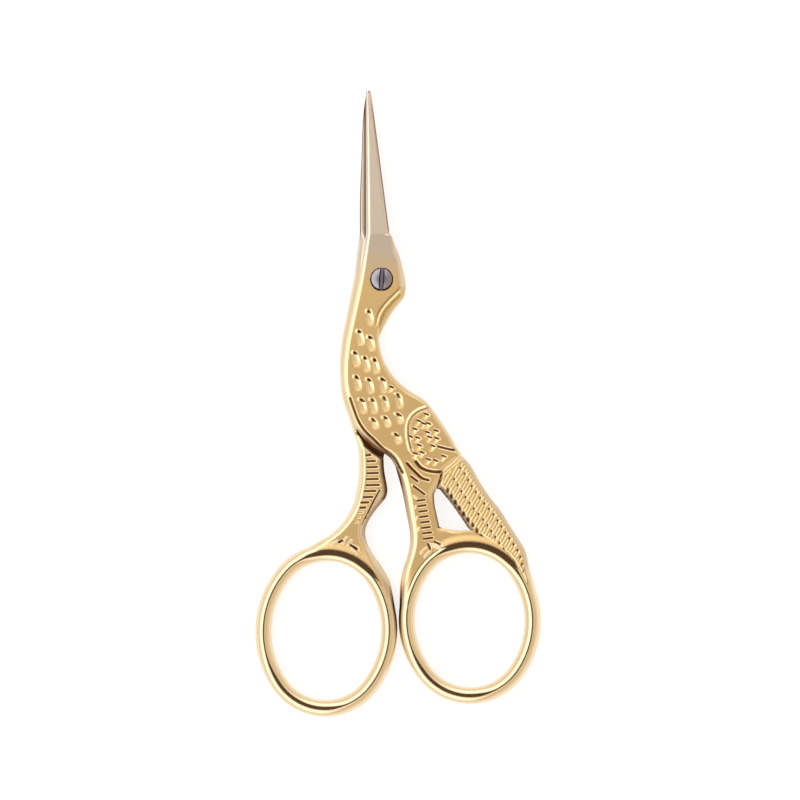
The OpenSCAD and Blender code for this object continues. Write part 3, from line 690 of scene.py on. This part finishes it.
# Outline of the rear plate's floor in the gap over the thigh, which gets a painted shadow
THIGH_HOLE = np.array([[-4.7, -27.6], [-1.5, -29.0], [0.6, -31.0], [1.6, -33.6], [-0.8, -33.6],
                       [-4.6, -30.6]])
REAR_CUT = 0.18
# Straight marks of the leg: x, y, x, y
REAR_RIBS = [[a, y - 0.03, b, y + 0.03] for a, b, y in [
    (-2.8, -2.1, -32.4), (-2.6, -1.25, -33.5), (-2.6, -0.8, -34.6), (-2.6, -0.7, -35.7),
    (-2.7, -0.7, -36.8), (-2.8, -0.5, -37.9), (-3.05, -1.15, -39.0), (-3.25, -1.7, -40.1),
    (-3.7, -2.45, -41.1), (-3.9, -3.0, -42.05)]]
REAR_FAINT = [[-4.25, -42.97, -3.55, -42.93], [-4.55, -43.82, -4.0, -43.78],
              [-4.85, -44.7, -4.4, -44.7]]
REAR_TOE_RIDGES = [[-9.0, -48.7, -8.1, -48.3], [-6.9, -48.5, -6.4, -47.6],
                   [-6.1, -48.9, -5.6, -48.2], [-5.2, -49.7, -4.2, -50.5]]
REAR_TOE_CUTS = [[-7.8, -48.4, -7.3, -48.1], [-5.6, -49.0, -4.5, -49.6]]
shin_line = curve([[-0.3, -38.8], [-1.4, -40.7], [-2.5, -42.9], [-3.6, -45.1]])


def plate_top(x, y):
    """Height of the rear plate's upper face, which is flat but for its rims and a dip along the
    throat."""
    z = PLATE - edge_drop(away(x, y, rear_left), y, REAR_PLATE_RIM)
    z -= 0.07 * bell(away(x, y, front_right), 0.35) * down(y, [0, 2, 9, 11], [0, 1, 1, 0])
    return z - edge_drop(away(x, y, rear_right), y, REAR_THROAT_RIM)


def plate_under(x, y):
    """Height of the rear plate's outer face: ground thinner towards the tip, with the straight
    cutting bevel at its left and a narrower one at its right."""
    along_blade = [-REAR_TIP, -HEEL - 0.2, -HEEL]
    bevel, steep = down(y, along_blade, [0.18, 0.62, 0.05]), down(y, along_blade, [0.4, 1.4, 0.2])
    z = down(y, [-REAR_TIP, -HEEL, 0], [1.13, 0, 0])
    z = z + steep * np.clip(1 - away(x, y, rear_left) / bevel, 0, 1)
    return z + 0.35 * np.clip(1 - away(x, y, rear_right) / 0.6, 0, 1)


def rear_cuts(x, y):
    """The cuts of the left leg's face, from 0 beside them to 1 at their deepest."""
    cut = np.maximum(struck(x, y, REAR_RIBS, 0.66, 1), struck(x, y, REAR_FAINT, 0.4, 0.5))
    cut = np.maximum(cut, groove(away(x, y, shin_line), 0.35, 1))
    return np.maximum(cut, struck(x, y, REAR_TOE_CUTS, 0.7, 1))


def leg_top(x, y):
    """Height of the thigh, left leg and foot: their level, less the fall to the edges and the cuts,
    plus the ridges of the toes."""
    z = LEG - edge_drop(away(x, y, rear_left), y, REAR_LEFT_RIM)
    z -= edge_drop(away(x, y, rear_right), y, REAR_RIGHT_RIM)
    z -= edge_drop(away(x, y, thigh_top), y, THIGH_RIM)
    z += struck(x, y, REAR_TOE_RIDGES, 0.7, 0.26)
    z -= REAR_CUT * rear_cuts(x, y)
    return near_wire(x, y, z, REAR_BOW, (14, 118), rear_left, rear_right)


def rear_plate():
    """The blade and the thin plate behind the body, as loops of a flat tube."""
    y = spaced((REAR_TIP, 8.3, 0.5), (8.3, THIGH_RIGHT, 0.3))
    x, yy = level_grid(rear_left, rear_right, y, 40)
    top, low = raised(x, yy, plate_top), raised(x, yy, plate_under)
    return tube(np.concatenate([top, low[:, ::-1]], 1))


def rear_leg():
    """Thigh and left leg, then the foot down to the bow's middle line, as two grids between four
    lines each. The thigh's top is 4.6 times as long as the edge columns reach."""
    close, k = CLOSE / 4.6, len(CLOSE)
    u = np.concatenate([close, np.linspace(close[-1], 1 - close[-1], 62)[1:-1], 1 - close[::-1]])
    v, w = np.linspace(0, 1, 205), np.linspace(0, 1, 75)
    top = resample(curve(np.vstack([[[across(rear_left, THIGH_LEFT), THIGH_LEFT]], thigh_top[::-1],
                                    [[across(rear_right, THIGH_RIGHT), THIGH_RIGHT]]])), 400)
    row = np.array([[across(line, -ANKLE), -ANKLE] for line in (rear_left, rear_right)])
    shin = coons(along(top, u), along(row, u), along(part_of(rear_left, top[0, 1], -ANKLE), v),
                 along(part_of(rear_right, top[-1, 1], -ANKLE), v), u)
    between = len(u) - 2 * k
    directions = np.concatenate([np.full(k, REAR_FOOT[0]),
                                 np.linspace(*REAR_FOOT, between + 2)[1:-1],
                                 np.full(k, REAR_FOOT[1])])
    low = REAR_BOW.at(directions,
                      np.concatenate([RUN_IN, np.full(between, HALF_W), RUN_IN[::-1]]))
    left, right = (part_of(line, -ANKLE, REAR_BOW.at([end], WIRE)[0, 1])
                   for line, end in zip((rear_left, rear_right), REAR_FOOT))
    foot = coons(shin[-1], low, along(left, w), along(right, w), u)
    return slab_below(*joined(*(raised(g[..., 0], g[..., 1], leg_top) for g in (shin, foot))), 0)


rear = solid("rear_half_forged", *rear_leg())
combine(rear, [solid("plate", *rear_plate()), solid("wire", *bow_wire(REAR_BOW, 42, 112))], "UNION")
combine(rear, [solid("bore", *turned([(0, 5), (1.07, 5), (1.07, -1), (0, -1)]))], "DIFFERENCE")

# ---------------------------------------------------------------- pivot screw
# Half the outline, from the middle of the head down the shank: the dome falls by 0.3 times
# (radius / 1.93)^3
outline = [(r, TOP + 0.35 - 0.3 * (r / 1.93) ** 3) for r in np.linspace(0, 1.9, 16)]
outline += [(1.94, TOP - 0.05), (1.95, TOP - 0.12), (1.95, TOP - 0.77), (1.0, TOP - 0.77),
            (1.0, 0.1), (0.9, 0.02), (0, 0.02)]
screw = solid("slotted_pivot_screw", *turned(outline, 128))
# The slot is 0.48 mm wide at its floor and widens upwards, and is turned by 4 degrees
SLOT_FLOOR, SLOT_TURN = TOP - 0.3, math.radians(-4)
c, s = math.cos(SLOT_TURN), math.sin(SLOT_TURN)
corners = np.array([[sx * w, sy * 3.0, z] for w, z in ((0.24, SLOT_FLOOR), (1.04, SLOT_FLOOR + 2))
                    for sx, sy in ((-1, -1), (1, -1), (1, 1), (-1, 1))])
corners = corners @ [[c, s, 0], [-s, c, 0], [0, 0, 1]]
box = [[3, 2, 1, 0], [4, 5, 6, 7], [0, 1, 5, 4], [1, 2, 6, 5], [2, 3, 7, 6], [3, 0, 4, 7]]
combine(screw, [solid("slot", corners, box)], "DIFFERENCE")
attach(screw, "rear")
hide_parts("pivot_screw")
for half, node, body_name in ((front, "front_half", "front"), (rear, "rear_half", "rear")):
    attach(half, body_name)
    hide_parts(node)


# ---------------------------------------------------------------- materials
MIX_A, MIX_B, MIXED = 6, 7, 2          # a Mix node's two colour sockets and its colour output


def linear(code):
    """The linear value of an sRGB hex colour: c / 12.92 up to 0.04045, and above it
    ((c + 0.055) / 1.055)^2.4."""
    c = np.array([int(code[i:i + 2], 16) for i in (1, 3, 5)]) / 255
    return [*np.where(c <= 0.04045, c / 12.92, ((c + 0.055) / 1.055) ** 2.4).tolist(), 1.0]


def add(tree, kind, links=(), values=(), **settings):
    """Adds a node with its settings, links as (socket, from) and values as (socket, value)."""
    node = tree.nodes.new(kind)
    for name, value in settings.items():
        setattr(node, name, value)
    for socket, source in links:
        tree.links.new(source, node.inputs[socket])
    for socket, value in values:
        node.inputs[socket].default_value = value
    return node


def material(name, **values):
    """A new material, its tree and its shader's node, with values for the shader's sockets."""
    m = bpy.data.materials.new(name)
    m.use_nodes = True
    shader = m.node_tree.nodes["Principled BSDF"]
    for socket, value in values.items():
        shader.inputs[socket.replace("_", " ")].default_value = value
    return m, m.node_tree, shader


def vectors(items, name):
    """A vector of each point or face of a mesh, as rows of an array."""
    out = np.empty(3 * len(items), np.float32)
    items.foreach_get(name, out)
    return out.reshape(-1, 3)


def front_shades(shade_and_tarnish, x, y, z, nx, nz, wire):
    """Painted shade of the front half: on the tail in its pits and between its ridges, and on its
    side to the window; elsewhere the greatest of six falls from a line, each let in and out along
    the drop."""
    left, right = away(x, y, front_left), away(x, y, front_right)
    on_tail = inside(x, y, tail_loop)
    # Painted shade in the tail's pits and on the floor between its ridges, partly also old polish
    # in the pits
    shade_and_tarnish = np.where(on_tail * (z > 2.2), tail_cuts(x, y), shade_and_tarnish)
    # Painted shade on the tail's wall to the window, where it faces left
    side = beside(away(x, y, tail_left), 1.4, 0.8) * (y < -35) * (y > -46.5) * (z > 1.8)
    shade_and_tarnish = np.maximum(shade_and_tarnish, 0.75 * side * (nz > 0.1) * (nx < -0.2))
    # Painted shade, each from a line: on the belly's rim over the thigh, on the window's side,
    # along the blade's ground edge, on the leg's left flank, along the throat, and where the foot
    # runs into the wire
    thigh = beside(left, 1.6, 0.8) * down(y, [27, 29.5, 32.5, 35], [0, 0.9, 0.9, 0])
    pane = beside(right, 1.6, 0.3) * down(y, [38, 39.5, 46, 47], [0, 0.8, 0.8, 0])
    lip = beside(right, 1.6, 0.22) * down(y, [-34, -30, -9, -8], [0, 0.75, 0.75, 0])
    shank = beside(left, 1.7, 0.5) * down(y, [33, 35, 40, 50], [0, 0.7, 0.5, 0])
    throat = 0.8 * bell(right - 0.75, 0.13) * down(y, [1, 2, 6, 9], [0, 1, 1, 0])
    seam = np.interp(FRONT_BOW.direction(x, y), [112, 118, 150, 160], [0, 0.75, 0.75, 0])
    seam *= bell(wire - 0.64, 0.1) * ~inside(x, y, FRONT_BOW.middle)
    for share in (thigh, pane, lip, shank, throat, seam):
        shade_and_tarnish = np.maximum(shade_and_tarnish, share * (z > 1.8) * (1 - on_tail))
    return shade_and_tarnish


def rear_shades(shade_and_tarnish, x, y, z, nx, nz):
    """Painted shade of the rear half: a painted shadow on the floor of the gap over the thigh,
    painted shade on the leg's right flank, and painted dark lines along the blade's left edge and
    beside the front blade."""
    # Painted shadow on the rear plate in the gap under the belly, over the thigh
    shade_and_tarnish = np.maximum(shade_and_tarnish, (z < 1.7) * (z > 1) * inside(x, y, THIGH_HOLE))
    # Painted shade on the left leg's right flank, which faces the other leg
    flank = beside(away(x, y, rear_right), 1.8, 0.55) * (nz > 0.1) * (nx > 0.2) * (z > 1.8)
    flank *= down(y, [31, 32, 39, 41, 47, 50], [0, 0.93, 0.93, 0.55, 0.4, 0])
    # Painted shadow lines along the blade's left edge and under the front blade's edge
    edges = np.clip(bell(away(x, y, rear_left), 0.22) + bell(x + 3.05, 0.16), 0, 1)
    blade = 0.95 * edges * np.clip((y - 6.5) / 2, 0, 1) * (nz > 0.2)
    return np.maximum(shade_and_tarnish, np.maximum(flank, blade))


def mark(obj, bow, cuts):
    """Marks each point with two shares for the gold. Satin is 1 on the pressed flats, whose normal
    is nearly upright, and 0 on the polished rims and the wire. The other share is painted shade, a
    dark brown: the greatest of the cuts' painted shade (partly also old polish and tarnish left in
    the struck marks), a painted shadow in the screw's seat, the half's own painted shades, painted
    shade where the bows face each other, and a faint darkening of the satin flats down the body."""
    mesh = obj.data
    x, y, z = (vectors(mesh.vertices, "co") / MM - [PIVOT[0], PIVOT[1], 0]).T
    nx, _, nz = vectors(mesh.vertex_normals, "vector").T
    wire = away(x, y, bow.middle)
    satin = np.clip((np.abs(nz) - 0.955) / 0.035, 0, 1) * np.clip((wire - 0.55) / 0.3, 0, 1)
    # Painted shade in the cuts, partly also old polish and tarnish left in the struck marks
    shade_and_tarnish = np.clip(1.6 * cuts(x, y), 0, 1) * (z > 2.2) * (wire > 1.35)
    # Painted shadow on the walls of the screw's seat, round the screw's head
    shade_and_tarnish = np.maximum(shade_and_tarnish, (np.hypot(x, y) < 2.2) * (z > 2.3) * (z < 3.2))
    facing = np.arange(-50, 51, 3.0)
    if obj is front:
        facing += 180
        dents = np.maximum(punch(x, y, FEATHERS, 1, *FEATHER_PUNCH),
                           punch(x, y, SMALL_FEATHERS, 1, *SMALL_PUNCH))
        satin *= 1 - 0.6 * np.clip(2 * dents, 0, 1)
        shade_and_tarnish = front_shades(shade_and_tarnish, x, y, z, nx, nz, wire)
    else:
        shade_and_tarnish = rear_shades(shade_and_tarnish, x, y, z, nx, nz)
    # Painted shade where the bows face each other, standing in for the other bow's dark reflection
    shade_between_bows = 0.8 * bell(away(x, y, bow.at(facing, WIRE)), 0.5) * bell(y + 61, 5)
    # The satin flats get a little darker further down the body
    darker_down_body = 0.09 * satin * down(y, [3, 15, 30], [0, 0.6, 1])
    shade_and_tarnish = np.maximum(shade_and_tarnish, np.maximum(shade_between_bows, darker_down_body))
    for name, share in (("satin", satin), ("shade_and_tarnish", shade_and_tarnish)):
        attribute = mesh.attributes.new(name, "FLOAT", "POINT")
        attribute.data.foreach_set("value", share.astype(np.float32))


def plated():
    """Gold over polished forged steel. The eye gets mirror-bright rims and wires, whose bands are
    the reflected studio, warmer satin flats, a dark brown painted into the cuts, gaps, creases and
    flanks as shade (in the cuts partly also old polish and tarnish), and blades of bare steel with
    a faint warm cast, because the plating fades out over 9 mm about the joint."""
    gold, tree, shader = material("gold plate over polished forged steel", Metallic=1)
    place = add(tree, "ShaderNodeTexCoord")
    split = add(tree, "ShaderNodeSeparateXYZ", [("Vector", place.outputs["Object"])])
    bare = add(tree, "ShaderNodeMapRange", [("Value", split.outputs["Y"])],
               [("From Min", (PIVOT[1] - 2.0) * MM), ("From Max", (PIVOT[1] + 7.0) * MM)],
               interpolation_type="SMOOTHSTEP")
    satin = add(tree, "ShaderNodeAttribute", attribute_name="satin")
    # The share of painted shade at each point
    shade_and_tarnish = add(tree, "ShaderNodeAttribute", attribute_name="shade_and_tarnish")
    pressed = add(tree, "ShaderNodeMix", [("Factor", satin.outputs["Fac"])],
                  [(MIX_A, linear("#EFD9B0")), (MIX_B, linear("#FAD493"))], data_type="RGBA")
    metal = add(tree, "ShaderNodeMix",
                [("Factor", bare.outputs["Result"]), (MIX_A, pressed.outputs[MIXED])],
                [(MIX_B, linear("#E4D3BE"))], data_type="RGBA")
    # Painted shade: a dark brown mixed in by that share
    shaded_metal = add(tree, "ShaderNodeMix",
               [("Factor", shade_and_tarnish.outputs["Fac"]), (MIX_A, metal.outputs[MIXED])],
               [(MIX_B, linear("#573317"))], data_type="RGBA")
    rough = add(tree, "ShaderNodeMapRange", [("Value", satin.outputs["Fac"])],
                [("To Min", 0.13), ("To Max", 0.32)])
    tree.links.new(shaded_metal.outputs[MIXED], shader.inputs["Base Color"])
    tree.links.new(rough.outputs["Result"], shader.inputs["Roughness"])
    return gold


def dress(obj, *materials):
    """Gives a piece its materials, and shades it smooth but for edges over 38 degrees."""
    obj.data.materials.clear()
    for m in materials:
        obj.data.materials.append(m)
    obj.data.shade_smooth()
    obj.data.set_sharp_from_angle(angle=math.radians(38))


gold = plated()
for half, bow, cuts in ((front, FRONT_BOW, front_cuts), (rear, REAR_BOW, rear_cuts)):
    dress(half, gold)
    mark(half, bow, cuts)

# Turned and oiled: a darker and cooler grey than the gold, with soft highlights on the dome
steel, _, _ = material("turned steel, oiled dark", Metallic=1, Base_Color=linear("#9A949C"),
                       Roughness=0.28)
# Painted shade: the slot's steep walls are a matt, nearly black colour, so that the slot reads as a
# dark line
slot_shade, _, _ = material("painted shade on the slot walls", Base_Color=linear("#2A2230"), Roughness=0.6)
dress(screw, steel, slot_shade)
x, y, z = (vectors(screw.data.polygons, "center") / MM - [PIVOT[0], PIVOT[1], 0]).T
# The slot's steep walls get the painted shade
steep = np.abs(vectors(screw.data.polygons, "normal")[:, 2]) < 0.6
in_slot = steep & (z > SLOT_FLOOR - 0.1) & (np.hypot(x, y) < 1.8)
screw.data.polygons.foreach_set("material_index", in_slot.astype(np.int32))

# ---------------------------------------------------------------- studio
bpy.ops.mesh.primitive_plane_add(size=3, location=(0, 0, -0.0001))
floor = bpy.context.object
floor.name = "floor"
# Lit from below: an even, nearly white ground on which the contact shadows are faint
acrylic, _, _ = material("white acrylic light table", Base_Color=linear("#909090"), Roughness=0.9,
                         Emission_Color=linear("#FFFFFF"), Emission_Strength=0.76)
floor.data.materials.append(acrylic)

# A tent of light: pale all round at its foot, brightest two thirds of the way up, and with a dark
# lens opening overhead, which the level places mirror. Its upper right part is a warm mid tone,
# which the right flanks of the wires and of the tail's ridges mirror.
world = bpy.data.worlds.new("studio")
bpy.context.scene.world = world
world.use_nodes = True
tree = world.node_tree
place = add(tree, "ShaderNodeTexCoord")
split = add(tree, "ShaderNodeSeparateXYZ", [("Vector", place.outputs["Generated"])])
ramp = add(tree, "ShaderNodeValToRGB", [("Fac", split.outputs["Z"])])
STRENGTH, FOOT, LENS = 2.5, (0.92, 0.88, 0.92), (0.07, 0.032, 0.014)
stops = [(0, FOOT), (0.45, FOOT), (0.72, (1.75, 1.75, 1.7)), (0.86, (1.9, 1.9, 1.9)),
         (0.95, (1.35, 1.35, 1.35)), (0.979, (1.2, 1.2, 1.2)), (0.987, LENS), (1, LENS)]
for k, (at, light) in enumerate(stops):
    e = ramp.color_ramp.elements[k] if k < 2 else ramp.color_ramp.elements.new(at)
    e.position, e.color = at, [v / STRENGTH for v in light] + [1]
rightward = add(tree, "ShaderNodeVectorMath", [(0, place.outputs["Generated"])],
                [(1, (0.98, -0.2, 0))], operation="DOT_PRODUCT")
right = add(tree, "ShaderNodeMapRange", [("Value", rightward.outputs["Value"])],
            [("From Min", 0.0), ("From Max", 0.36)], interpolation_type="SMOOTHSTEP")
high = add(tree, "ShaderNodeMapRange", [("Value", split.outputs["Z"])],
           [("From Min", 0.4), ("From Max", 0.65)], interpolation_type="SMOOTHSTEP")
warm = add(tree, "ShaderNodeMath", [(0, right.outputs["Result"]), (1, high.outputs["Result"])],
           operation="MULTIPLY")
tent = add(tree, "ShaderNodeMix", [("Factor", warm.outputs[0]), (MIX_A, ramp.outputs["Color"])],
           [(MIX_B, (0.46, 0.4, 0.31, 1))], data_type="RGBA", blend_type="MULTIPLY")
background = tree.nodes["Background"]
background.inputs["Strength"].default_value = STRENGTH
tree.links.new(tent.outputs[MIXED], background.inputs["Color"])

# The camera looks straight down. The photograph's width spans 147.2 mm at the halves' lap.
CAMERA_UP, SPAN, SENSOR = 1.2, 0.1472, 36
camera = bpy.data.objects.new("camera", bpy.data.cameras.new("camera"))
bpy.context.scene.collection.objects.link(camera)
camera.location = (0.000369, 0.000684, CAMERA_UP)
camera.data.sensor_width = SENSOR
camera.data.lens = SENSOR * (CAMERA_UP - (LAP + PLATE) / 2 * MM) / SPAN
camera.data.clip_end = 10
bpy.context.scene.camera = camera
bpy.context.scene.view_settings.view_transform = "Standard"
